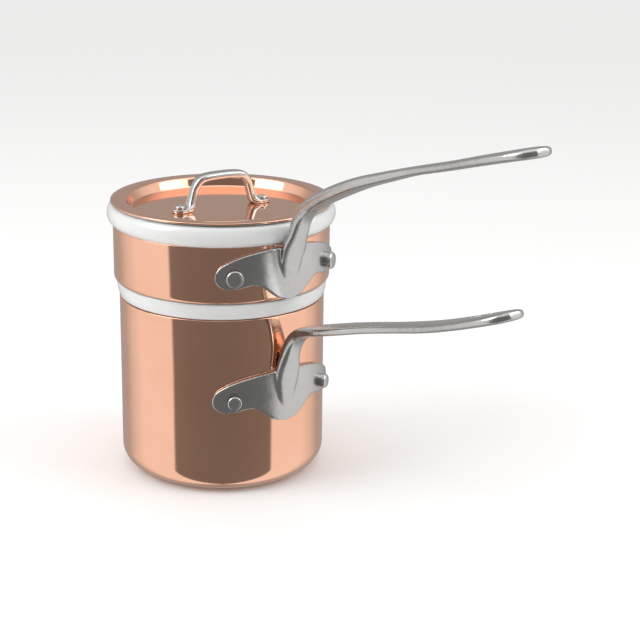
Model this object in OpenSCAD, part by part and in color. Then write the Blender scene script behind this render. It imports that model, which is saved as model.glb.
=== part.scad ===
// Double boiler: a copper water pan, a porcelain insert held in a copper collar, and a copper lid.
// +Z is up, +X points along both long handles, and the origin is the centre of the pan's flat base.

/* [Water pan] */
// Outer diameter of the pan
pan_d = 123; // [110:1:140]
// Height of the pan from base to rim
pan_h = 107; // [95:1:125]
// Thickness of the pan's copper
pan_copper = 1.3; // [1:0.1:2]
// Thickness of the pan's steel lining
pan_steel = 0.3; // [0.2:0.05:0.6]
// Outer corner radius between base and side
pan_corner = 13; // [8:0.5:18]

/* [Porcelain insert] */
// How far the bowl hangs below the pan's rim
bowl_drop = 75; // [55:1:80]
// Thickness of the bowl's wall
bowl_wall = 4; // [3:0.5:5]
// Gap between the bowl and the pan's lining
bowl_gap = 2.4; // [1.5:0.1:4]
// Height of the shoulder that stands on the pan's rim
shoulder_h = 9.6; // [7:0.2:13]
// How far the rim bead stands out past the collar
bead_out = 3.4; // [2:0.2:5]
// Height of the rim bead
bead_h = 12.5; // [9:0.5:16]

/* [Copper collar] */
// How far the collar stands out past the pan
collar_out = 3.1; // [2.6:0.1:5]
// Height of the collar
collar_h = 33.8; // [33:0.2:45]
// Thickness of the collar's copper
collar_t = 1.2; // [0.8:0.1:1.6]

/* [Lid] */
// How far the lid's edge stays inside the bead's edge
lid_in = 2.2; // [1:0.2:4]
// Thickness of the lid's copper
lid_copper = 1.1; // [0.8:0.1:1.6]
// Thickness of the lid's steel lining
lid_steel = 0.3; // [0.2:0.05:0.6]
// Width of the lid's flat flange
flange_w = 9.5; // [7:0.5:11]
// Depth of the lid's sunk centre
sunk = 6; // [4:0.5:8]
// Turn of the lid away from square to the long handles
lid_turn = -6; // [-20:1:20]

/* [Lid handle] */
// Distance between the lid handle's two rivets
lid_rivet_span = 56; // [46:1:64]
// Height of the lid handle above the sunk centre
lid_handle_h = 22; // [17:1:30]
// Width of the lid handle's bar
lid_bar_w = 8; // [6:0.5:11]
// Thickness of the lid handle's bar
lid_bar_t = 4.6; // [3.5:0.1:6]

/* [Long handles] */
// Thickness of a handle's plate
plate_t = 3.2; // [2.5:0.1:4.5]
// Length of a plate round the pan
plate_w = 88; // [80:1:96]
// Angle from a plate's middle to each rivet
rivet_angle = 29.5; // [26:0.5:31]
// Height of the pan handle's rivets
pan_rivet_z = 59; // [50:1:68]
// Height of the insert handle's rivets above the collar's lower edge
collar_rivet_up = 17; // [16.5:0.1:17.5]
// Length of the hanging eye
eye_l = 26; // [16:1:30]
// Width of the hanging eye
eye_w = 9; // [7:0.5:11]

/* [Rivets] */
// Diameter of the rivets' shanks
shank_d = 5; // [4:0.2:6]
// Head diameter of the pan's rivets
pan_head_d = 8.4; // [7.5:0.1:11]
// Head diameter of the insert's rivets
collar_head_d = 10; // [8:0.1:12]
// Height of the long handles' rivet heads
head_h = 4.4; // [3:0.1:5.5]
// Head diameter of the lid's rivets
lid_head_d = 6; // [5:0.1:8]

/* [Hidden] */
$fn = 96;

copper = [0.84, 0.50, 0.36];
steel = [0.74, 0.74, 0.74];
porcelain = [0.90, 0.91, 0.90];

seat_gap = 0.3;
fit_gap = 0.05;
tail_h = 1.5;
tail_share = 0.75;
head_sink = 0.35;
head_edge = 1.2;
bore_back = 12;
eye_end = 7;

pan_r = pan_d / 2;
pan_wall = pan_copper + pan_steel;
pan_inner_r = pan_r - pan_wall;

collar_r = pan_r + collar_out;
collar_inner_r = collar_r - collar_t;
shoulder_z = pan_h + seat_gap;
collar_z = shoulder_z + shoulder_h + 0.2;
collar_top_z = collar_z + collar_h;
lip_h = 4;

neck_r = collar_inner_r - tail_h - 0.5;
bowl_r = pan_inner_r - bowl_gap;
bowl_z = pan_h - bowl_drop;
bowl_taper = 2.5;
bowl_corner = 18;
bead_r = collar_r + bead_out;
rim_z = collar_top_z + fit_gap + bead_h;
mouth_r = neck_r - bowl_wall;

lid_r = bead_r - lid_in;
lid_z = rim_z + seat_gap;
lid_t = lid_copper + lid_steel;
sunk_z = lid_z + lid_t - sunk;
sunk_top_r = lid_r - flange_w;
sunk_slope = 3;

pan_plate_r = pan_r;
collar_rivet_z = collar_z + collar_rivet_up;

// A smooth curve through the points p, with n steps between each two
function between(a, b, c, d, t) = 0.5 * (2 * b + (c - a) * t + (2 * a - 5 * b + 4 * c - d) * t * t
    + (3 * b - a - 3 * c + d) * t * t * t);
function curve(p, n) = let (last = len(p) - 1) [
    for (i = [0 : last - 1], k = [0 : n - 1])
        between(p[max(i - 1, 0)], p[i], p[i + 1], p[min(i + 2, last)], k / n),
    p[last]
];

// Quarter round points about c from angle a to b
function arc(c, r, a, b, n = 8) = [for (i = [0 : n]) c + r * [cos(a + (b - a) * i / n), sin(a + (b - a) * i / n)]];

// Cup profile as a solid of revolution: outer radius r, from z0 to z1, corner radius c
module cup_solid(r, z0, z1, c) {
    rotate_extrude() union() {
        translate([0, z0 + c]) square([r, z1 - z0 - c]);
        translate([0, z0]) square([r - c, c + 0.001]);
        intersection() {
            translate([r - c, z0 + c]) circle(c);
            translate([r - c - 0.001, z0]) square([c + 0.001, c + 0.001]);
        }
    }
}

// Hole for a long handle's rivet, through the wall at radius r
module rivet_bores(z, r) {
    for (side = [-1, 1])
        rotate([0, 0, side * rivet_angle]) translate([r - bore_back, 0, z]) rotate([0, 90, 0])
            cylinder(d = shank_d + 2 * fit_gap, h = 2 * bore_back);
}

// Flat seat for a rivet's head in the round face of a handle's plate
module head_seats(z, r, d) {
    for (side = [-1, 1])
        rotate([0, 0, side * rivet_angle]) translate([r + plate_t - head_sink, 0, z]) rotate([0, 90, 0])
            cylinder(d = d + 2 * fit_gap, h = bore_back);
}

module water_pan() {
    color(copper) difference() {
        cup_solid(pan_r, 0, pan_h, pan_corner);
        cup_solid(pan_r - pan_copper, pan_copper, pan_h + 1, pan_corner - pan_copper);
        rivet_bores(pan_rivet_z, pan_r);
    }
}

module water_pan_lining() {
    color(steel) difference() {
        cup_solid(pan_r - pan_copper, pan_copper, pan_h, pan_corner - pan_copper);
        cup_solid(pan_inner_r, pan_wall, pan_h + 1, pan_corner - pan_wall);
        rivet_bores(pan_rivet_z, pan_r);
    }
}

// Plate outline: half of it as arc length and height from the rivet line, then its mirror
plate_half = [[0, 15.2], [9, 15.4], [18, 14.4], [28, 12.2], [36, 9], [42, 5], [44, 0], [42.5, -4.6],
    [37.5, -7.4], [30, -6.8], [23, -5.4], [18, -6.6], [13, -10.2], [7.5, -14.2], [0, -15.8]];
plate_share = plate_w / 88;

module plate(r) {
    half = [for (p = curve(plate_half, 3)) [r * sin(p[0] * plate_share / r * 180 / PI), p[1]]];
    other = [for (i = [len(half) - 2 : -1 : 1]) [-half[i][0], half[i][1]]];
    intersection() {
        difference() {
            translate([0, 0, -25]) cylinder(r = r + plate_t, h = 50, $fn = 160);
            translate([0, 0, -26]) cylinder(r = r, h = 52, $fn = 160);
        }
        rotate([90, 0, 90]) linear_extrude(r + 20) polygon(concat(half, other));
    }
}

// Centreline of a handle as distance from the pan's axis, height, half width and half thickness
function pan_handle_line() = let (r = pan_r + plate_t / 2, z = pan_rivet_z) [
    [r, z - 10, 3, 1.4], [r + 0.6, z + 4, 6.5, 2.2], [r + 2, z + 15, 8, 3], [r + 4.4, z + 26, 6.2, 3.6],
    [r + 8.4, z + 34.5, 5.8, 3.7], [r + 15, z + 41, 6.2, 3.4], [r + 25, z + 45, 8, 3],
    [r + 38, z + 49, 11, 2.7], [r + 55, z + 54, 11.6, 2.6], [r + 76, z + 60, 9.2, 2.5],
    [r + 100, z + 66.3, 8.4, 2.5], [r + 126, z + 73.5, 10.4, 2.6], [r + 150, z + 81.5, 12.6, 2.7],
    [r + 170, z + 88.8, 12.8, 2.8], [r + 180, z + 92.6, 9.6, 2.7], [r + 184, z + 94.2, 4, 2]];
function insert_handle_line() = let (r = collar_r + plate_t / 2, z = collar_rivet_z) [
    [r, z - 10, 3, 1.4], [r + 0.8, z + 3, 6.5, 2.2], [r + 3.8, z + 14, 8, 3], [r + 7.8, z + 24, 6.4, 3.4],
    [r + 12, z + 34, 5.8, 3.8], [r + 19, z + 41.6, 6, 4], [r + 30, z + 48.4, 6.8, 4],
    [r + 46, z + 56.2, 8.2, 3.9], [r + 64, z + 63.8, 9.2, 3.5], [r + 84, z + 70.6, 8.6, 3],
    [r + 106, z + 77.6, 8.2, 2.5], [r + 134, z + 85.4, 10.2, 2.5], [r + 160, z + 93, 12.6, 2.7],
    [r + 180, z + 98.6, 12.8, 2.8], [r + 190, z + 101.2, 9.6, 2.7], [r + 194, z + 102.2, 4, 2]];

// Rounded section of a handle: half width w, half thickness t, turned to the slope a
section_n = 20;
function squared(v) = sign(v) * pow(abs(v), 0.62);
function handle_ring(p, a) = [
    for (i = [0 : section_n - 1])
        let (u = 360 * i / section_n, y = p[2] * squared(cos(u)), h = p[3] * squared(sin(u)))
            [p[0] - h * sin(a), y, p[1] + h * cos(a)]
];

module tube(rings) {
    m = len(rings[0]);
    k = len(rings);
    faces = concat(
        [for (j = [0 : k - 2], i = [0 : m - 1]) [j * m + i, j * m + (i + 1) % m, (j + 1) * m + (i + 1) % m]],
        [for (j = [0 : k - 2], i = [0 : m - 1]) [j * m + i, (j + 1) * m + (i + 1) % m, (j + 1) * m + i]],
        [for (i = [1 : m - 2]) [0, i + 1, i]],
        [for (i = [1 : m - 2]) [(k - 1) * m, (k - 1) * m + i, (k - 1) * m + i + 1]]
    );
    polyhedron([for (r = rings, q = r) q], [for (f = faces) [f[2], f[1], f[0]]]);
}

module bar(line, steps) {
    p = curve(line, steps);
    last = len(p) - 1;
    tube([for (i = [0 : last])
        let (a = p[max(i - 1, 0)], b = p[min(i + 1, last)])
            handle_ring(p[i], atan2(b[1] - a[1], b[0] - a[0]))]);
}

// Teardrop eye cut straight down near the handle's end
module eye(x) {
    translate([x - eye_l / 2 + eye_w / 2, 0, 0]) union() {
        cylinder(d = eye_w - 2.4, h = 400, $fn = 32);
        translate([eye_l - eye_w, 0, 0]) cylinder(d = eye_w, h = 400, $fn = 32);
        linear_extrude(400) polygon([[0, -eye_w / 2 + 1.2], [eye_l - eye_w, -eye_w / 2],
            [eye_l - eye_w, eye_w / 2], [0, eye_w / 2 - 1.2]]);
    }
}

module long_handle(line, r, z, head_d) {
    tip = line[len(line) - 1][0];
    difference() {
        union() {
            difference() {
                bar(line, 3);
                translate([0, 0, z - 40]) cylinder(r = r, h = 80, $fn = 160);
            }
            translate([0, 0, z]) plate(r);
        }
        rivet_bores(z, r);
        head_seats(z, r, head_d);
        eye(tip - eye_l / 2 - eye_end);
    }
}

module pan_handle() {
    color(steel) long_handle(pan_handle_line(), pan_r, pan_rivet_z, pan_head_d);
}

module insert_handle() {
    color(steel) long_handle(insert_handle_line(), collar_r, collar_rivet_z, collar_head_d);
}

// Rivet along +X: tail from tail_x inward, shank to head_x, then a domed head with a flat top
module rivet(tail_x, head_x, d, h, shank) {
    rotate([0, 90, 0]) rotate_extrude() polygon(concat(
        [[0, tail_x - tail_h], [shank * tail_share - 0.5, tail_x - tail_h],
            [shank * tail_share, tail_x - tail_h + 0.5], [shank * tail_share, tail_x],
            [shank / 2, tail_x], [shank / 2, head_x], [d / 2, head_x]],
        arc([d / 2 - head_edge, head_x + h - head_edge], head_edge, 0, 70, 5),
        [[0, head_x + h]]
    ));
}

// The tail's edge bears on the round inner wall at radius tail_r
module side_rivet(side, tail_r, r, z, d) {
    color(steel) rotate([0, 0, side * rivet_angle]) translate([0, 0, z])
        rivet(sqrt(pow(tail_r, 2) - pow(shank_d * tail_share, 2)), r + plate_t - head_sink, d, head_h, shank_d);
}

module pan_rivet_left() { side_rivet(-1, pan_inner_r, pan_r, pan_rivet_z, pan_head_d); }
module pan_rivet_right() { side_rivet(1, pan_inner_r, pan_r, pan_rivet_z, pan_head_d); }
module insert_rivet_left() { side_rivet(-1, collar_inner_r, collar_r, collar_rivet_z, collar_head_d); }
module insert_rivet_right() { side_rivet(1, collar_inner_r, collar_r, collar_rivet_z, collar_head_d); }

module porcelain_insert() {
    shoulder_r = collar_inner_r - 0.3;
    groove_r = shoulder_r - 1.8;
    foot_r = bowl_r - bowl_taper;
    in_r = bowl_r - bowl_wall;
    bead_mid = collar_top_z + fit_gap + bead_h * 0.46;
    outside = concat(
        [[0, bowl_z]],
        arc([foot_r - bowl_corner, bowl_z + bowl_corner], bowl_corner, -90, 0, 10),
        [[bowl_r, pan_h - 12], [bowl_r, shoulder_z], [pan_r - 0.8, shoulder_z]],
        curve([[pan_r - 0.3, shoulder_z + 0.7], [pan_r + 0.9, shoulder_z + 4],
            [shoulder_r, shoulder_z + shoulder_h - 0.8]], 4),
        [[shoulder_r - 0.5, shoulder_z + shoulder_h], [groove_r, shoulder_z + shoulder_h + 0.4],
            [groove_r, collar_z + lip_h], [neck_r, collar_z + lip_h + 1.5],
            [neck_r, collar_top_z + fit_gap], [collar_r, collar_top_z + fit_gap]],
        curve([[collar_r + 0.5, collar_top_z + 0.5], [bead_r - 0.5, bead_mid - 2.6], [bead_r, bead_mid],
            [bead_r - 0.6, rim_z - 3], [bead_r - 2.4, rim_z - 0.7], [bead_r - 4.6, rim_z]], 4)
    );
    inside = concat(
        [[mouth_r + 2, rim_z], [mouth_r + 0.6, rim_z - 1], [mouth_r, rim_z - 3],
            [mouth_r, shoulder_z + 10], [in_r, shoulder_z - 4]],
        arc([foot_r - bowl_corner, bowl_z + bowl_corner], bowl_corner - bowl_wall, 0, -90, 10),
        [[0, bowl_z + bowl_wall]]
    );
    color(porcelain) rotate_extrude() polygon(concat(outside, inside));
}

module insert_collar() {
    lip = 3;
    outer = concat(
        [[collar_r, collar_top_z]],
        [[collar_r, collar_z + lip]],
        arc([collar_r - lip, collar_z + lip], lip, 0, -55, 6)
    );
    inner = concat(
        arc([collar_r - lip, collar_z + lip], lip - collar_t, -55, 0, 6),
        [[collar_inner_r, collar_z + lip], [collar_inner_r, collar_top_z]]
    );
    color(copper) difference() {
        rotate_extrude() polygon(concat(outer, inner));
        rivet_bores(collar_rivet_z, collar_r);
    }
}

// Sheet of the lid between depth a and b under its upper face
module lid_sheet(a, b) {
    top = lid_z + lid_t;
    turn = 1.6;
    function face(d) = concat(
        [[lid_r, top - d]],
        arc([sunk_top_r + turn, top - turn - 0.2], turn + 0.2 - d, 90, 160, 5),
        arc([sunk_top_r - sunk_slope - turn * 0.2, sunk_z + turn], turn + d, -20, -90, 5),
        [[0, sunk_z - d]]
    );
    near = face(a);
    far = face(b);
    rotate_extrude() polygon(concat(near, [for (i = [len(far) - 1 : -1 : 0]) far[i]]));
}

module lid_rivet_bores() {
    for (side = [-1, 1])
        rotate([0, 0, 90 + lid_turn]) translate([side * lid_rivet_span / 2, 0, sunk_z - 10])
            cylinder(d = 3 + 2 * fit_gap, h = 40, $fn = 32);
}

module lid_shell() {
    color(copper) difference() {
        lid_sheet(0, lid_copper);
        lid_rivet_bores();
    }
}

module lid_lining() {
    color(steel) difference() {
        lid_sheet(lid_copper, lid_t);
        lid_rivet_bores();
    }
}

module lid_bow() {
    w = lid_bar_w / 2;
    t = lid_bar_t / 2;
    h = lid_handle_h;
    s = lid_rivet_span / 2;
    half = [[s - 6.6, 1.6, w * 1.05, t * 1.2], [s - 7.2, 5, w * 0.8, t], [s - 9.4, h * 0.52, w * 0.72, t * 0.95],
        [s - 12, h - t - 3.4, w * 0.86, t], [s - 16.5, h - t - 0.6, w * 0.98, t], [0, h - t, w, t]];
    line = concat([for (p = half) [-p[0], p[1], p[2], p[3]]], [for (i = [len(half) - 2 : -1 : 0]) half[i]]);
    bar(line, 3);
}

module lid_handle() {
    color(steel) rotate([0, 0, 90 + lid_turn]) translate([0, 0, sunk_z]) difference() {
        union() {
            intersection() {
                lid_bow();
                translate([-60, -20, 0.02]) cube([120, 40, 60]);
            }
            for (side = [-1, 1])
                translate([side * lid_rivet_span / 2, 0, 0.02]) {
                    rotate_extrude() polygon(concat([[0, 0], [4.6, 0]], arc([3.6, 1], 1, 0, 90, 5),
                        [[0, 2.2]]));
                    translate([side > 0 ? -8 : 0, -lid_bar_w * 0.52, 0]) cube([8, lid_bar_w * 1.04, 2.2]);
                }
        }
        for (side = [-1, 1])
            translate([side * lid_rivet_span / 2, 0, -5]) cylinder(d = 3 + 2 * fit_gap, h = 20, $fn = 32);
        for (side = [-1, 1])
            translate([side * lid_rivet_span / 2, 0, 2.2]) cylinder(d = lid_head_d + 0.4, h = 20);
    }
}

module lid_rivet(side) {
    color(steel) rotate([0, 0, 90 + lid_turn]) translate([side * lid_rivet_span / 2, 0, sunk_z - lid_t])
        rotate([0, -90, 0]) rivet(0, lid_t + 2.22, lid_head_d, 2.4, 3);
}

module lid_rivet_left() { lid_rivet(-1); }
module lid_rivet_right() { lid_rivet(1); }

water_pan();
water_pan_lining();
pan_handle();
pan_rivet_left();
pan_rivet_right();
porcelain_insert();
insert_collar();
insert_handle();
insert_rivet_left();
insert_rivet_right();
lid_shell();
lid_lining();
lid_handle();
lid_rivet_left();
lid_rivet_right();
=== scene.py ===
"""A double boiler: a copper water pan, a porcelain insert in a copper collar, a copper lid and steel handles."""

import math

import bmesh
import bpy
import numpy as np
from mathutils import Matrix, Vector


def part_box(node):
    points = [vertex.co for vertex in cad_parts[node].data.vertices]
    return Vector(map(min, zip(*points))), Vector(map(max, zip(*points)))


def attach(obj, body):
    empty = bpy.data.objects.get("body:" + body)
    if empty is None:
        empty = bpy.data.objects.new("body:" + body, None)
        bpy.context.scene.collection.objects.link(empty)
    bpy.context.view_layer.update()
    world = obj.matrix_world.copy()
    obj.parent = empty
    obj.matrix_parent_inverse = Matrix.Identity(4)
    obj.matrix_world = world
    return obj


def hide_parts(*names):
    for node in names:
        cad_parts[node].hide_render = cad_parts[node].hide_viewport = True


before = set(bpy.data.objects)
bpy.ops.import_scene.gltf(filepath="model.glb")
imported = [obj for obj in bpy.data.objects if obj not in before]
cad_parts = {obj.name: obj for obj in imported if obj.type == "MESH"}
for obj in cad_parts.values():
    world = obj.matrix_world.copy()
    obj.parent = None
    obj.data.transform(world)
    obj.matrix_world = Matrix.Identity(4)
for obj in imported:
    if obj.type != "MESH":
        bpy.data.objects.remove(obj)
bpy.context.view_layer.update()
MM = 0.001

# The water pan is a straight copper cup with a rounded foot.
# It is drawn from one sheet of copper, and its side is polished round the axis.
pan_low, pan_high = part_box("water_pan")
pan_r = pan_high.x / MM
pan_h = pan_high.z / MM
pan_copper = 1.3
pan_corner = 13
turned_segments = 256


def arc(r, z, radius, start, end, steps=10):
    """Points of an arc about (r, z), from one angle to another, in degrees."""
    turns = [math.radians(start + (end - start) * i / steps) for i in range(steps + 1)]
    return [(r + radius * math.cos(a), z + radius * math.sin(a)) for a in turns]


def finished_object(name, mesh):
    """An object at the origin that holds the mesh."""
    piece = bpy.data.objects.new(name, mesh)
    bpy.context.scene.collection.objects.link(piece)
    return piece


def turned(name, profile, closed=False, segments=turned_segments, sharp=32):
    """A solid of revolution about Z. The profile is (radius, height) in mm, from axis to axis, or a closed ring."""
    bm = bmesh.new()
    rings = []
    for r, z in profile:
        if r < 1e-6:
            rings.append([bm.verts.new((0, 0, z * MM))] * segments)
            continue
        turns = [2 * math.pi * k / segments for k in range(segments)]
        rings.append([bm.verts.new((r * MM * math.cos(a), r * MM * math.sin(a), z * MM)) for a in turns])
    pairs = list(zip(rings, rings[1:]))
    if closed:
        pairs.append((rings[-1], rings[0]))
    for low, high in pairs:
        for k in range(segments):
            n = (k + 1) % segments
            corners = list(dict.fromkeys([low[k], low[n], high[n], high[k]]))
            if len(corners) > 2:
                bm.faces.new(corners)
    bmesh.ops.recalc_face_normals(bm, faces=bm.faces)
    mesh = bpy.data.meshes.new(name)
    bm.to_mesh(mesh)
    bm.free()
    mesh.shade_smooth()
    mesh.set_sharp_from_angle(angle=math.radians(sharp))
    return finished_object(name, mesh)


def new_material(name):
    """A material with its shader, and a function that adds a node and links its inputs."""
    material = bpy.data.materials.new(name)
    material.use_nodes = True
    tree = material.node_tree
    shader = tree.nodes["Principled BSDF"]

    def add(kind, links=(), **settings):
        node = tree.nodes.new(kind)
        for key, value in settings.items():
            setattr(node, key, value)
        for socket, source in links:
            if isinstance(source, bpy.types.NodeSocket):
                tree.links.new(source, node.inputs[socket])
            else:
                node.inputs[socket].default_value = source
        return node

    return material, shader, add, tree


def streaks(add, place, scale, across, detail=6.0):
    """Noise drawn out along the way a surface was polished: the scale is per metre, across squeezes it on Z."""
    stretched = add("ShaderNodeMapping", [("Vector", place), ("Scale", (1, 1, across))])
    return add("ShaderNodeTexNoise", [("Vector", stretched.outputs["Vector"]), ("Scale", scale), ("Detail", detail)])


def copper_material(name, colour, polish_scale, across, roughness=0.07):
    """Polished copper: a warm mirror with faint cloudy tarnish and polishing lines."""
    material, shader, add, tree = new_material(name)
    place = add("ShaderNodeTexCoord").outputs["Object"]
    cloud = add("ShaderNodeTexNoise", [("Vector", place), ("Scale", 22.0), ("Detail", 4.0), ("Roughness", 0.55)])
    tone = add("ShaderNodeValToRGB", [("Fac", cloud.outputs["Fac"])])
    tone.color_ramp.elements[0].position = 0.34
    tone.color_ramp.elements[0].color = (colour[0] * 0.955, colour[1] * 0.93, colour[2] * 0.90, 1)
    tone.color_ramp.elements[1].position = 0.68
    tone.color_ramp.elements[1].color = (*colour, 1)
    tree.links.new(tone.outputs["Color"], shader.inputs["Base Color"])
    lines = streaks(add, place, polish_scale, across)
    rough = add("ShaderNodeMapRange", [("Value", lines.outputs["Fac"]), ("From Min", 0.3), ("From Max", 0.72),
                                       ("To Min", roughness * 0.72), ("To Max", roughness * 1.5)])
    tree.links.new(rough.outputs["Result"], shader.inputs["Roughness"])
    bump = add("ShaderNodeBump", [("Height", lines.outputs["Fac"]), ("Strength", 0.02), ("Distance", 0.0002)])
    tree.links.new(bump.outputs["Normal"], shader.inputs["Normal"])
    shader.inputs["Metallic"].default_value = 1.0
    return material


copper_colour = (0.93, 0.535, 0.385)
side_copper = copper_material("polished_copper_side", copper_colour, 60.0, 40.0)

rim_round = pan_copper * 0.3
pan_shell = turned(
    "water_pan_shell",
    [(0, 0)]
    + arc(pan_r - pan_corner, pan_corner, pan_corner, -90, 0, 24)
    + [(pan_r, pan_h * 0.35), (pan_r, pan_h * 0.7)]
    + arc(pan_r - rim_round, pan_h - rim_round, rim_round, 0, 90, 5)
    + [(pan_r - pan_copper, pan_h)]
    + arc(pan_r - pan_corner, pan_corner, pan_corner - pan_copper, 0, -90, 24)
    + [(0, pan_copper)],
)
pan_shell.data.materials.append(side_copper)
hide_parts("water_pan")
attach(pan_shell, "pan")

# The pan's lining is a thin sheet of stainless steel, bonded to the copper.
# Its face inside the pan has a fine circular brushing.
pan_steel = 0.3
lining_colour = (0.60, 0.60, 0.59)


def steel_material(name, colour, roughness, scale, across, bump_strength, grain=0.0002):
    """Stainless steel with a brushed or cast grain and slightly uneven polish."""
    material, shader, add, tree = new_material(name)
    place = add("ShaderNodeTexCoord").outputs["Object"]
    brush = streaks(add, place, scale, across)
    patch = add("ShaderNodeTexNoise", [("Vector", place), ("Scale", 38.0), ("Detail", 3.0)])
    both = add("ShaderNodeMath", [(0, brush.outputs["Fac"]), (1, patch.outputs["Fac"])], operation="ADD")
    rough = add("ShaderNodeMapRange", [("Value", both.outputs["Value"]), ("From Min", 0.7), ("From Max", 1.35),
                                       ("To Min", roughness * 0.7), ("To Max", roughness * 1.35)])
    tree.links.new(rough.outputs["Result"], shader.inputs["Roughness"])
    tone = add("ShaderNodeValToRGB", [("Fac", patch.outputs["Fac"])])
    tone.color_ramp.elements[0].position = 0.3
    tone.color_ramp.elements[0].color = tuple(c * 0.92 for c in colour) + (1,)
    tone.color_ramp.elements[1].position = 0.7
    tone.color_ramp.elements[1].color = (*colour, 1)
    tree.links.new(tone.outputs["Color"], shader.inputs["Base Color"])
    bump = add("ShaderNodeBump", [("Height", brush.outputs["Fac"]), ("Strength", bump_strength), ("Distance", grain)])
    tree.links.new(bump.outputs["Normal"], shader.inputs["Normal"])
    shader.inputs["Metallic"].default_value = 1.0
    return material


lining_material = steel_material("brushed_steel_lining", lining_colour, 0.30, 90.0, 60.0, 0.10)
lining_r = pan_r - pan_copper
inner_r = lining_r - pan_steel
pan_lining = turned(
    "water_pan_lining_sheet",
    [(0, pan_copper + 0.01)]
    + arc(pan_r - pan_corner, pan_corner, pan_corner - pan_copper - 0.01, -90, 0, 24)
    + [(lining_r - 0.01, pan_h - 0.05), (inner_r, pan_h - 0.05)]
    + arc(pan_r - pan_corner, pan_corner, pan_corner - pan_copper - pan_steel, 0, -90, 24)
    + [(0, pan_copper + pan_steel)],
)
pan_lining.data.materials.append(lining_material)
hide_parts("water_pan_lining")
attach(pan_lining, "pan")

# Each long handle is one casting of stainless steel: a winged plate that fits the round wall,
# and a bar that rises from it, bends out, and widens to a flat grip with a teardrop eye.
plate_t = 3.2
plate_half_width = 44.0
pan_rivet_z = 59.0
plate_outline = [(0, 15.2), (9, 15.4), (18, 14.4), (28, 12.2), (36, 9), (42, 5), (44, 0), (42.5, -4.6),
                 (37.5, -7.4), (30, -6.8), (23, -5.4), (18, -6.6), (13, -10.2), (7.5, -14.2), (0, -15.8)]
eye_length = 26.0
eye_width = 9.0
eye_end = 7.0
casting_voxel = 0.55


def through(points, steps):
    """A smooth curve through points of any number of values."""
    p = [np.array(q, float) for q in points]
    last = len(p) - 1
    made = []
    for i in range(last):
        a, b, c, d = p[max(i - 1, 0)], p[i], p[i + 1], p[min(i + 2, last)]
        for k in range(steps):
            t = k / steps
            made.append(0.5 * (2 * b + (c - a) * t + (2 * a - 5 * b + 4 * c - d) * t ** 2
                               + (3 * b - a - 3 * c + d) * t ** 3))
    return made + [p[last]]


def bar_mesh(line, steps, sides=40, squareness=0.62):
    """A bar along a line of (out, up, half width, half thickness) in mm, with a rounded oblong section."""
    path = through(line, steps)
    bm = bmesh.new()
    rings = []
    for i, (out, up, half_w, half_t) in enumerate(path):
        before, after = path[max(i - 1, 0)], path[min(i + 1, len(path) - 1)]
        slope = math.atan2(after[1] - before[1], after[0] - before[0])
        ring = []
        for k in range(sides):
            turn = 2 * math.pi * k / sides
            c, s = math.cos(turn), math.sin(turn)
            across = half_w * math.copysign(abs(c) ** squareness, c)
            over = half_t * math.copysign(abs(s) ** squareness, s)
            place = (out - over * math.sin(slope), across, up + over * math.cos(slope))
            ring.append(bm.verts.new(Vector(place) * MM))
        rings.append(ring)
    for low, high in zip(rings, rings[1:]):
        for k in range(sides):
            n = (k + 1) % sides
            bm.faces.new([low[k], low[n], high[n], high[k]])
    bm.faces.new(list(reversed(rings[0])))
    bm.faces.new(rings[-1])
    bmesh.ops.recalc_face_normals(bm, faces=bm.faces)
    mesh = bpy.data.meshes.new("bar")
    bm.to_mesh(mesh)
    bm.free()
    return mesh


def plate_mesh(r, z):
    """The winged plate, bent round the wall of radius r, its rivets at height z."""
    right = [(p[0], p[1]) for p in through(plate_outline, 10)]
    outline = right + [(-s, h) for s, h in reversed(right[1:-1])]
    bm = bmesh.new()
    bm.faces.new([bm.verts.new((s, h, 0)) for s, h in outline])
    for cut in np.arange(-42, 43, 1.5):
        bmesh.ops.bisect_plane(bm, geom=bm.verts[:] + bm.edges[:] + bm.faces[:], plane_co=(cut, 0, 0),
                               plane_no=(1, 0, 0))
    for cut in np.arange(-14, 15, 1.5):
        bmesh.ops.bisect_plane(bm, geom=bm.verts[:] + bm.edges[:] + bm.faces[:], plane_co=(0, cut, 0),
                               plane_no=(0, 1, 0))
    made = bmesh.ops.extrude_face_region(bm, geom=bm.faces[:])
    for v in made["geom"]:
        if isinstance(v, bmesh.types.BMVert):
            v.co.z = plate_t
    for v in bm.verts:
        turn = v.co.x / r
        out = r + v.co.z
        v.co = Vector((out * math.cos(turn), out * math.sin(turn), z + v.co.y)) * MM
    bmesh.ops.recalc_face_normals(bm, faces=bm.faces)
    mesh = bpy.data.meshes.new("plate")
    bm.to_mesh(mesh)
    bm.free()
    return mesh


def eye_mesh(tip):
    """A teardrop prism that cuts the hanging eye near the bar's end, narrow towards the pan."""
    far = tip - eye_end - eye_width / 2
    near = far - (eye_length - eye_width)
    narrow = eye_width / 2 - 1.2
    ring = [(far + eye_width / 2 * math.cos(a), eye_width / 2 * math.sin(a)) for a in np.linspace(-1.5, 1.5, 20)]
    ring += [(near - narrow * math.cos(a), narrow * math.sin(a)) for a in np.linspace(1.5, -1.5, 16)]
    bm = bmesh.new()
    base = bm.faces.new([bm.verts.new(Vector((x, y, 0)) * MM) for x, y in ring])
    made = bmesh.ops.extrude_face_region(bm, geom=[base])
    for v in made["geom"]:
        if isinstance(v, bmesh.types.BMVert):
            v.co.z = 400 * MM
    bmesh.ops.recalc_face_normals(bm, faces=bm.faces)
    mesh = bpy.data.meshes.new("eye")
    bm.to_mesh(mesh)
    bm.free()
    return mesh


def apply_modifiers(piece):
    """Turns a piece's modifiers into its plain mesh."""
    bpy.context.view_layer.update()
    evaluated = piece.evaluated_get(bpy.context.evaluated_depsgraph_get())
    mesh = bpy.data.meshes.new_from_object(evaluated)
    piece.modifiers.clear()
    piece.data = mesh


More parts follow.
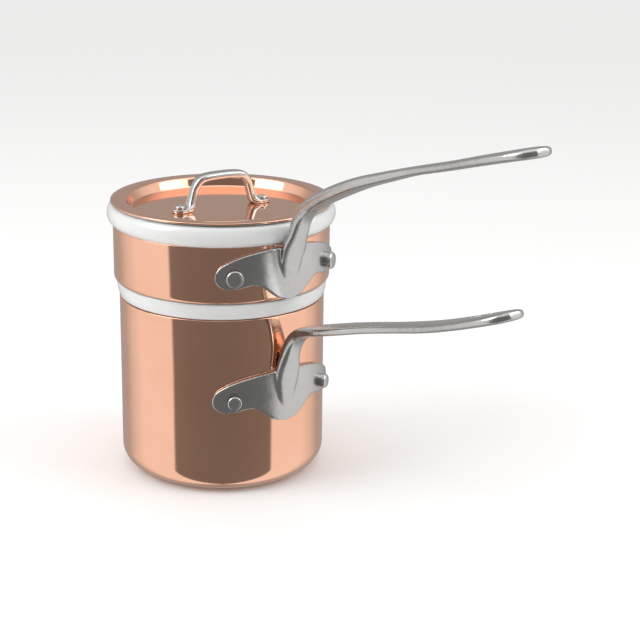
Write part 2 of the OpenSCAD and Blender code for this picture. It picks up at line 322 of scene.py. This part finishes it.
def cast_in_one(name, meshes, cutter=None, voxel=casting_voxel, smoothing=10, wall_r=None):
    """Joins closed meshes into one casting with soft inner and outer corners. No point lies inside radius wall_r."""
    bm = bmesh.new()
    for mesh in meshes:
        bm.from_mesh(mesh)
    joined = bpy.data.meshes.new(name)
    bm.to_mesh(joined)
    bm.free()
    piece = finished_object(name, joined)
    fuse = piece.modifiers.new("fuse", "REMESH")
    fuse.mode = "VOXEL"
    fuse.voxel_size = voxel * MM
    apply_modifiers(piece)
    if cutter is not None:
        tool = finished_object("cutter", cutter)
        cut = piece.modifiers.new("cut", "BOOLEAN")
        cut.operation = "DIFFERENCE"
        cut.object = tool
        cut.solver = "EXACT"
        apply_modifiers(piece)
        bpy.data.objects.remove(tool)
        again = piece.modifiers.new("fuse", "REMESH")
        again.mode = "VOXEL"
        again.voxel_size = voxel * MM
    soften = piece.modifiers.new("soften", "SMOOTH")
    soften.factor = 0.5
    soften.iterations = smoothing
    apply_modifiers(piece)
    if wall_r is not None:
        for v in piece.data.vertices:
            flat = math.hypot(v.co.x, v.co.y)
            if flat < wall_r * MM:
                v.co.x *= wall_r * MM / flat
                v.co.y *= wall_r * MM / flat
    piece.data.shade_smooth()
    return piece


def long_handle(name, line, r, z):
    """One cast handle on the wall of radius r. Its line starts from the plate's middle, relative to r and z."""
    placed = [(r + plate_t / 2 + out, z + up, w, t) for out, up, w, t in line]
    tip = placed[-1][0]
    return cast_in_one(name, [bar_mesh(placed, 14), plate_mesh(r, z)], cutter=eye_mesh(tip), wall_r=r + 0.02)


handle_colour = (0.56, 0.56, 0.555)
handle_material = steel_material("cast_steel_handle", handle_colour, 0.24, 260.0, 1.0, 0.16, 0.00012)

pan_handle_line = [
    (0, -10, 3, 1.4), (0.6, 4, 6.5, 2.2), (2, 15, 8, 3), (4.4, 26, 6.2, 3.6), (8.4, 34.5, 5.8, 3.7),
    (15, 41, 6.2, 3.4), (25, 45, 8, 3), (38, 49, 11, 2.7), (55, 54, 11.6, 2.6), (76, 60, 9.2, 2.5),
    (100, 66.3, 8.4, 2.5), (126, 73.5, 10.4, 2.6), (150, 81.5, 12.6, 2.7), (170, 88.8, 12.8, 2.8),
    (180, 92.6, 9.6, 2.7), (184, 94.2, 4, 2)]
pan_handle = long_handle("pan_handle_casting", pan_handle_line, pan_r, pan_rivet_z)
pan_handle.data.materials.append(handle_material)
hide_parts("pan_handle")
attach(pan_handle, "pan")

# Two solid steel rivets hold each handle. Each has a flat-topped head with a turned edge outside
# and a closed tail inside the wall, and is set square to the round wall.
rivet_angle = 29.5
shank_d = 5.0
head_h = 4.4
head_sink = 0.35
tail_h = 1.5
tail_share = 0.75


def rivet_profile(head_d, height, tail_x, head_x, shank, tail_height=tail_h):
    """A rivet's (radius, place along its own axis) in mm, from its tail's middle to its head's middle."""
    tail_r = shank * tail_share
    edge = min(1.2, head_d * 0.16)
    return (
        [(0, tail_x - tail_height), (tail_r - 0.6, tail_x - tail_height)]
        + arc(tail_r - 0.5, tail_x - tail_height + 0.5, 0.5, -80, 0, 5)
        + [(tail_r, tail_x), (shank / 2, tail_x), (shank / 2, head_x)]
        + arc(head_d / 2 - 0.25, head_x + 0.25, 0.25, -90, 0, 3)
        + arc(head_d / 2 - edge, head_x + height - edge, edge, 0, 62, 6)
        + arc(head_d / 2 - edge - 0.5, head_x + height - 0.4, 0.4, 50, 90, 4)
        + [(0, head_x + height)]
    )


def setting_tree(material):
    """A node tree that sets one rivet at each point of a row and turns it the way the row says."""
    tree = bpy.data.node_groups.new("set_rivets", "GeometryNodeTree")
    sockets = tree.interface
    sockets.new_socket(name="Geometry", in_out="INPUT", socket_type="NodeSocketGeometry")
    for label, kind in (("Rivet", "NodeSocketObject"), ("Half angle", "NodeSocketFloat"),
                        ("Half span", "NodeSocketFloat"), ("Height", "NodeSocketFloat"),
                        ("Turn", "NodeSocketFloat"), ("Upright", "NodeSocketBool")):
        sockets.new_socket(name=label, in_out="INPUT", socket_type=kind)
    sockets.new_socket(name="Geometry", in_out="OUTPUT", socket_type="NodeSocketGeometry")
    nodes, link = tree.nodes, tree.links.new

    def add(kind, links=(), **settings):
        node = nodes.new(kind)
        for key, value in settings.items():
            setattr(node, key, value)
        for socket, source in links:
            if isinstance(source, bpy.types.NodeSocket):
                link(source, node.inputs[socket])
            else:
                node.inputs[socket].default_value = source
        return node

    given = nodes.new("NodeGroupInput").outputs
    row = add("GeometryNodePoints", [("Count", 2)])
    index = add("GeometryNodeInputIndex").outputs["Index"]
    side = add("ShaderNodeMath", [(0, index), (1, 2.0), (2, -1.0)], operation="MULTIPLY_ADD").outputs[0]
    turn = add("ShaderNodeMath", [(0, side), (1, given["Half angle"]), (2, given["Turn"])],
               operation="MULTIPLY_ADD").outputs[0]
    out = add("ShaderNodeMath", [(0, side), (1, given["Half span"])], operation="MULTIPLY").outputs[0]
    x = add("ShaderNodeMath", [(0, out), (1, add("ShaderNodeMath", [(0, turn)], operation="COSINE").outputs[0])],
            operation="MULTIPLY").outputs[0]
    y = add("ShaderNodeMath", [(0, out), (1, add("ShaderNodeMath", [(0, turn)], operation="SINE").outputs[0])],
            operation="MULTIPLY").outputs[0]
    place = add("ShaderNodeCombineXYZ", [("X", x), ("Y", y), ("Z", given["Height"])])
    lean = add("GeometryNodeSwitch", [("Switch", given["Upright"]), ("False", math.pi / 2), ("True", 0.0)],
               input_type="FLOAT")
    facing = add("ShaderNodeCombineXYZ", [("X", 0.0), ("Y", lean.outputs[0]), ("Z", turn)])
    moved = add("GeometryNodeSetPosition", [("Geometry", row.outputs[0]), ("Position", place.outputs[0])])
    source = add("GeometryNodeObjectInfo", [("Object", given["Rivet"])])
    put = add("GeometryNodeInstanceOnPoints", [("Points", moved.outputs[0]), ("Instance", source.outputs["Geometry"]),
                                               ("Rotation", facing.outputs[0])])
    real = add("GeometryNodeRealizeInstances", [("Geometry", put.outputs[0])])
    made = add("GeometryNodeSetMaterial", [("Geometry", real.outputs[0]), ("Material", material)])
    link(made.outputs[0], nodes.new("NodeGroupOutput").inputs[0])
    return tree


rivet_colour = (0.60, 0.60, 0.60)
rivet_material = steel_material("turned_steel_rivet", rivet_colour, 0.20, 220.0, 1.0, 0.08)
rivet_tree = setting_tree(rivet_material)


def set_rivets(name, profile, body, nodes, height, half_angle=0.0, half_span=0.0, turn=0.0, upright=False):
    """Two rivets of one profile, as one plain mesh that stands for two CAD nodes."""
    pattern = turned("rivet_pattern", profile, segments=48)
    piece = finished_object(name, bpy.data.meshes.new(name))
    modifier = piece.modifiers.new("set_rivets", "NODES")
    modifier.node_group = rivet_tree
    values = {"Rivet": pattern, "Half angle": math.radians(half_angle), "Half span": half_span * MM,
              "Height": height * MM, "Turn": math.radians(turn), "Upright": upright}
    for item in rivet_tree.interface.items_tree:
        if item.in_out == "INPUT" and item.name in values:
            modifier[item.identifier] = values[item.name]
    apply_modifiers(piece)
    bpy.data.objects.remove(pattern)
    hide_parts(*nodes)
    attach(piece, body)
    return piece


def wall_rivets(name, body, nodes, outer_r, wall_inner_r, height, head_d):
    """The pair of rivets through a round wall and a handle's plate."""
    tail_x = math.sqrt(wall_inner_r ** 2 - (shank_d * tail_share) ** 2)
    profile = rivet_profile(head_d, head_h, tail_x, outer_r + plate_t - head_sink, shank_d)
    return set_rivets(name, profile, body, nodes, height, half_angle=rivet_angle)


pan_head_d = 8.4
pan_rivets = wall_rivets("pan_rivets", "pan", ("pan_rivet_left", "pan_rivet_right"), pan_r, inner_r, pan_rivet_z,
                         pan_head_d)

# The insert is one piece of white porcelain: a deep bowl, a shoulder that stands on the pan's rim,
# a waist that the collar hides, and a thick round bead at the mouth. It is glazed all over.
collar_out = 3.1
collar_t = 1.2
collar_h = 33.8
shoulder_h = 9.6
seat_gap = 0.3
fit_gap = 0.05
bowl_drop = 75
bowl_gap = 2.4
bowl_wall = 4
bowl_taper = 2.5
bowl_corner = 18
bead_out = 3.4
bead_h = 12.5
collar_r = pan_r + collar_out
collar_inner_r = collar_r - collar_t
shoulder_z = pan_h + seat_gap
collar_z = shoulder_z + shoulder_h + 0.2
collar_top_z = collar_z + collar_h
neck_r = collar_inner_r - tail_h - 0.5
bowl_r = inner_r - bowl_gap
bowl_z = pan_h - bowl_drop
bead_r = collar_r + bead_out
rim_z = collar_top_z + fit_gap + bead_h
mouth_r = neck_r - bowl_wall
shoulder_r = collar_inner_r - 0.3
bead_middle = collar_top_z + fit_gap + bead_h * 0.46
lip_h = 4


def porcelain_material():
    """Glazed porcelain: cool white body, a clear glaze, and the glaze's faint waviness."""
    material, shader, add, tree = new_material("glazed_white_porcelain")
    place = add("ShaderNodeTexCoord").outputs["Object"]
    cloud = add("ShaderNodeTexNoise", [("Vector", place), ("Scale", 30.0), ("Detail", 3.0)])
    tone = add("ShaderNodeValToRGB", [("Fac", cloud.outputs["Fac"])])
    tone.color_ramp.elements[0].position = 0.3
    tone.color_ramp.elements[0].color = (0.745, 0.755, 0.755, 1)
    tone.color_ramp.elements[1].position = 0.7
    tone.color_ramp.elements[1].color = (0.785, 0.79, 0.785, 1)
    tree.links.new(tone.outputs["Color"], shader.inputs["Base Color"])
    wave = add("ShaderNodeTexNoise", [("Vector", place), ("Scale", 110.0), ("Detail", 2.0)])
    bump = add("ShaderNodeBump", [("Height", wave.outputs["Fac"]), ("Strength", 0.05), ("Distance", 0.0004)])
    tree.links.new(bump.outputs["Normal"], shader.inputs["Normal"])
    tree.links.new(bump.outputs["Normal"], shader.inputs["Coat Normal"])
    shader.inputs["Roughness"].default_value = 0.32
    shader.inputs["Coat Weight"].default_value = 0.85
    shader.inputs["Coat Roughness"].default_value = 0.06
    shader.inputs["Subsurface Weight"].default_value = 0.12
    shader.inputs["Subsurface Radius"].default_value = (1.0, 0.9, 0.8)
    shader.inputs["Subsurface Scale"].default_value = 0.0015
    return material


def plain(points):
    """A smooth curve's points as plain pairs."""
    return [(float(p[0]), float(p[1])) for p in points]


foot_r = bowl_r - bowl_taper
groove_r = shoulder_r - 1.8
porcelain_outside = (
    [(0, bowl_z)]
    + arc(foot_r - bowl_corner, bowl_z + bowl_corner, bowl_corner, -90, 0, 20)
    + [(bowl_r, pan_h - 12), (bowl_r, shoulder_z)]
    + plain(through([(pan_r - 1.0, shoulder_z), (pan_r - 0.1, shoulder_z + 1.0), (pan_r + 0.9, shoulder_z + 4),
                     (shoulder_r, shoulder_z + shoulder_h - 0.8)], 8))
    + [(shoulder_r - 0.5, shoulder_z + shoulder_h), (groove_r, shoulder_z + shoulder_h + 0.4),
       (groove_r, collar_z + lip_h), (neck_r, collar_z + lip_h + 1.5), (neck_r, collar_top_z + fit_gap),
       (collar_r - 0.2, collar_top_z + fit_gap)]
    + plain(through([(collar_r + 0.4, collar_top_z + 0.4), (bead_r - 0.9, bead_middle - 3.2),
                     (bead_r - 0.05, bead_middle - 0.6), (bead_r - 0.3, bead_middle + 2.6),
                     (bead_r - 1.5, rim_z - 1.5), (bead_r - 3.4, rim_z - 0.3), (bead_r - 5.2, rim_z)], 10))
)
porcelain_inside = (
    plain(through([(mouth_r + 2.4, rim_z), (mouth_r + 0.8, rim_z - 0.9), (mouth_r, rim_z - 3)], 8))
    + [(mouth_r, shoulder_z + 10)]
    + [(bowl_r - bowl_wall, shoulder_z - 4)]
    + arc(foot_r - bowl_corner, bowl_z + bowl_corner, bowl_corner - bowl_wall, 0, -90, 20)
    + [(0, bowl_z + bowl_wall)]
)
porcelain = turned("porcelain_bowl", porcelain_outside + porcelain_inside, sharp=40)
porcelain.data.materials.append(porcelain_material())
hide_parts("porcelain_insert")
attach(porcelain, "insert")

# A copper collar is closed round the porcelain's waist, because a rivet can't pass through porcelain.
# Its lower edge is rolled inwards under the waist, and its handle and rivets are like the pan's.
collar_lip = 3.0
collar_edge = 0.35
collar = turned(
    "insert_collar_band",
    arc(collar_r - collar_edge, collar_top_z - collar_edge, collar_edge, 90, 0, 5)
    + [(collar_r, collar_z + collar_h * 0.5)]
    + arc(collar_r - collar_lip, collar_z + collar_lip, collar_lip, 0, -55, 14)
    + arc(collar_r - collar_lip, collar_z + collar_lip, collar_lip - collar_t, -55, 0, 14)
    + [(collar_inner_r, collar_top_z)],
    closed=True,
)
collar.data.materials.append(side_copper)
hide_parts("insert_collar")
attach(collar, "insert")

insert_rivet_z = collar_z + 17
insert_handle_line = [
    (0, -10, 3, 1.4), (0.8, 3, 6.5, 2.2), (3.8, 14, 8, 3), (7.8, 24, 6.4, 3.4), (12, 34, 5.8, 3.8),
    (19, 41.6, 6, 4), (30, 48.4, 6.8, 4), (46, 56.2, 8.2, 3.9), (64, 63.8, 9.2, 3.5), (84, 70.6, 8.6, 3),
    (106, 77.6, 8.2, 2.5), (134, 85.4, 10.2, 2.5), (160, 93, 12.6, 2.7), (180, 98.6, 12.8, 2.8),
    (190, 101.2, 9.6, 2.7), (194, 102.2, 4, 2)]
insert_handle = long_handle("insert_handle_casting", insert_handle_line, collar_r, insert_rivet_z)
insert_handle.data.materials.append(handle_material)
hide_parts("insert_handle")
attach(insert_handle, "insert")

insert_head_d = 10.0
insert_rivets = wall_rivets("insert_rivets", "insert", ("insert_rivet_left", "insert_rivet_right"), collar_r,
                            collar_inner_r, insert_rivet_z, insert_head_d)

# The lid is a copper disc with a flat flange that lies on the bead and a centre sunk into the mouth.
# A thin sheet of steel lines its underside, as it does in the pan.
lid_copper = 1.1
lid_steel = 0.3
lid_t = lid_copper + lid_steel
lid_r = bead_r - 2.2
lid_z = rim_z + seat_gap
lid_top = lid_z + lid_t
sunk_z = lid_top - 6
sunk_top_r = lid_r - 9.5
sunk_slope = 3
sunk_turn = 1.6


def lid_face(depth):
    """One face of the lid's sheet, at a depth under its upper face, from its edge to its middle."""
    return (
        arc(sunk_top_r + sunk_turn, lid_top - sunk_turn - 0.2, sunk_turn + 0.2 - depth, 90, 160, 10)
        + arc(sunk_top_r - sunk_slope - sunk_turn * 0.2, sunk_z + sunk_turn, sunk_turn + depth, -20, -90, 10)
        + [(sunk_top_r * 0.55, sunk_z - depth), (0, sunk_z - depth)]
    )


lid_edge = lid_copper * 0.42
lid_material = copper_material("polished_copper_lid", copper_colour, 45.0, 1.0, roughness=0.06)
lid_shell = turned(
    "lid_copper_sheet",
    list(reversed(lid_face(0)))
    + arc(lid_r - lid_edge, lid_top - lid_edge, lid_edge, 90, 0, 6)
    + arc(lid_r - lid_edge * 0.6, lid_top - lid_copper + lid_edge * 0.6, lid_edge * 0.6, 0, -90, 4)
    + lid_face(lid_copper),
)
lid_shell.data.materials.append(lid_material)
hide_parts("lid_shell")
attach(lid_shell, "lid")

lid_lining = turned(
    "lid_steel_sheet",
    list(reversed(lid_face(lid_copper + 0.01)))
    + [(lid_r - 0.35, lid_top - lid_copper - 0.01), (lid_r - 0.35, lid_z)]
    + lid_face(lid_t),
)
lid_lining.data.materials.append(lining_material)
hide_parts("lid_lining")
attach(lid_lining, "lid")

# The lid's handle is a small steel bow, cast with a flared foot at each end.
# Each foot is held by one small rivet through the lid.
lid_turn = -6.0
lid_rivet_span = 56.0
bow_h = 22.0
bow_w = 4.0
bow_t = 2.3
foot_h = 2.2
foot_disc_r = 4.6


def bow_line():
    """The bow's line from foot to foot, as (along, up, half width, half thickness)."""
    s = lid_rivet_span / 2
    half = [(s - 3.2, 1.3, bow_w * 1.15, bow_t * 0.55), (s - 6.4, 2.6, bow_w * 1.02, bow_t * 1.05),
            (s - 7.8, 6.2, bow_w * 0.8, bow_t), (s - 9.4, bow_h * 0.52, bow_w * 0.72, bow_t * 0.95),
            (s - 11.4, bow_h - bow_t - 4.0, bow_w * 0.84, bow_t), (s - 15.5, bow_h - bow_t - 0.8, bow_w * 0.98, bow_t),
            (0, bow_h - bow_t, bow_w, bow_t)]
    left = [(-a, up, w, t) for a, up, w, t in half]
    return left + list(reversed(half[:-1]))


def foot_mesh(side):
    """The flat foot under one end of the bow, round at its outer end."""
    s = side * lid_rivet_span / 2
    ring = [(s + side * foot_disc_r * math.cos(a), foot_disc_r * math.sin(a)) for a in np.linspace(-1.57, 1.57, 24)]
    ring += [(s - side * 7.0, bow_w * 0.95), (s - side * 7.0, -bow_w * 0.95)]
    bm = bmesh.new()
    base = bm.faces.new([bm.verts.new(Vector((x, y, 0.05)) * MM) for x, y in ring])
    made = bmesh.ops.extrude_face_region(bm, geom=[base])
    for v in made["geom"]:
        if isinstance(v, bmesh.types.BMVert):
            v.co.z = foot_h * MM
    bmesh.ops.recalc_face_normals(bm, faces=bm.faces)
    mesh = bpy.data.meshes.new("foot")
    bm.to_mesh(mesh)
    bm.free()
    return mesh


lid_bow = cast_in_one("lid_bow_handle", [bar_mesh(bow_line(), 16, sides=36), foot_mesh(-1), foot_mesh(1)],
                      voxel=0.3, smoothing=8)
bow_place = Matrix.Translation((0, 0, sunk_z * MM)) @ Matrix.Rotation(math.radians(90 + lid_turn), 4, "Z")
for v in lid_bow.data.vertices:
    v.co.z = max(v.co.z, 0.03 * MM)
lid_bow.data.transform(bow_place)
lid_bow.data.materials.append(handle_material)
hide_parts("lid_handle")
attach(lid_bow, "lid")

lid_rivet_profile = rivet_profile(6.0, 2.0, sunk_z - lid_t, sunk_z + foot_h + 0.02, 3.0)
lid_rivets = set_rivets("lid_rivets", lid_rivet_profile, "lid", ("lid_rivet_left", "lid_rivet_right"), 0.0,
                        half_span=lid_rivet_span / 2, turn=90 + lid_turn, upright=True)

# The floor is a plain pale sheet. Mirrors don't show it, so the copper shows the soft room light alone.
floor_size = 6.0
floor_mesh = bpy.data.meshes.new("floor")
corners = [(x * floor_size, y * floor_size, -0.0002) for x, y in ((-1, -1), (1, -1), (1, 1), (-1, 1))]
floor_mesh.from_pydata(corners, [], [(0, 1, 2, 3)])
floor = finished_object("floor", floor_mesh)
floor_material, floor_shader, floor_add, floor_tree = new_material("pale_floor")
floor_shader.inputs["Base Color"].default_value = (0.93, 0.93, 0.93, 1)
floor_shader.inputs["Roughness"].default_value = 0.9
floor_shader.inputs["Specular IOR Level"].default_value = 0.0
floor_mesh.materials.append(floor_material)
floor.visible_glossy = False

# The camera stands a metre away, a little above the lid, at the photograph's angle.
handle_bearing = math.radians(35.4)
camera_distance = 989.8
camera_height = 397.3
camera_yaw = math.radians(3.44)
camera_pitch = math.radians(17.31)
camera_roll = math.radians(0.71)
focal_pixels = 1703.2
photo_pixels = 640
sensor_width = 36.0

look = Vector((math.sin(camera_yaw) * math.cos(camera_pitch), math.cos(camera_yaw) * math.cos(camera_pitch),
               -math.sin(camera_pitch)))
level = Vector((math.cos(camera_yaw), -math.sin(camera_yaw), 0))
upright = level.cross(look)
right_hand = math.cos(camera_roll) * level + math.sin(camera_roll) * upright
overhead = -math.sin(camera_roll) * level + math.cos(camera_roll) * upright
turn_to_part = Matrix.Rotation(math.pi / 2 - handle_bearing, 3, "Z")
camera_data = bpy.data.cameras.new("camera")
camera_data.sensor_width = sensor_width
camera_data.lens = focal_pixels / photo_pixels * sensor_width
camera_data.clip_start = 0.05
camera_data.clip_end = 50
camera = finished_object("camera", camera_data)
axes = Matrix((turn_to_part @ right_hand, turn_to_part @ overhead, -(turn_to_part @ look))).transposed()
stand = turn_to_part @ Vector((0, -camera_distance, camera_height))
camera.matrix_world = Matrix.Translation(stand * MM) @ axes.to_4x4()
bpy.context.scene.camera = camera

# The room is a soft tent of light: pale at both sides and above, dim behind the camera and at the back.
# The camera itself sees plain white.
world = bpy.data.worlds.new("studio")
bpy.context.scene.world = world
world.use_nodes = True
sky = world.node_tree
towards_camera = Vector((stand.x, stand.y, 0)).normalized()


def sky_node(kind, links=(), **settings):
    """Adds a node to the world and links its inputs."""
    node = sky.nodes.new(kind)
    for key, value in settings.items():
        setattr(node, key, value)
    for socket, source in links:
        if isinstance(source, bpy.types.NodeSocket):
            sky.links.new(source, node.inputs[socket])
        else:
            node.inputs[socket].default_value = source
    return node


way = sky_node("ShaderNodeTexCoord").outputs["Generated"]
flat_way = sky_node("ShaderNodeVectorMath", [(0, way), (1, (1, 1, 0))], operation="MULTIPLY")
flat_unit = sky_node("ShaderNodeVectorMath", [(0, flat_way.outputs["Vector"])], operation="NORMALIZE")
ahead = sky_node("ShaderNodeVectorMath", [(0, flat_unit.outputs["Vector"]), (1, towards_camera)],
                 operation="DOT_PRODUCT")
share = sky_node("ShaderNodeMapRange", [("Value", ahead.outputs["Value"]), ("From Min", -1.0), ("From Max", 1.0)])
round_light = sky_node("ShaderNodeValToRGB", [("Fac", share.outputs["Result"])])
round_steps = [(0.0, 0.40), (0.14, 0.52), (0.25, 0.80), (0.40, 1.0), (0.765, 1.0), (0.785, 0.24), (1.0, 0.20)]
ramp = round_light.color_ramp
while len(ramp.elements) < len(round_steps):
    ramp.elements.new(0.5)
for element, (position, light) in zip(ramp.elements, round_steps):
    element.position = position
    element.color = (light, light * 0.985, light * 0.965, 1)
height = sky_node("ShaderNodeSeparateXYZ", [("Vector", way)])
top_share = sky_node("ShaderNodeMapRange", [("Value", height.outputs["Z"]), ("From Min", 0.62), ("From Max", 0.86)],
                     interpolation_type="SMOOTHSTEP")
tent = sky_node("ShaderNodeMix", [(0, top_share.outputs["Result"]), (6, round_light.outputs["Color"]),
                                  (7, (1.25, 1.25, 1.25, 1))], data_type="RGBA")
seen = sky_node("ShaderNodeLightPath")
final = sky_node("ShaderNodeMix", [(0, seen.outputs["Is Camera Ray"]), (6, tent.outputs[2]), (7, (1, 1, 1, 1))],
                 data_type="RGBA")
sky.links.new(final.outputs[2], sky.nodes["Background"].inputs["Color"])

for label, side, power in (("left", 1, 5.0), ("right", -1, 3.0)):
    lamp_data = bpy.data.lights.new("softbox_" + label, "AREA")
    lamp_data.energy = power
    lamp_data.size = 0.7
    lamp = finished_object("softbox_" + label, lamp_data)
    spot = Matrix.Rotation(math.radians(-70 * side), 3, "Z") @ towards_camera * 0.9 + Vector((0, 0, 0.75))
    aim = (Vector((0, 0, 0.1)) - spot).to_track_quat("-Z", "Y")
    lamp.matrix_world = Matrix.Translation(spot) @ aim.to_matrix().to_4x4()

bpy.context.scene.view_settings.view_transform = "Standard"
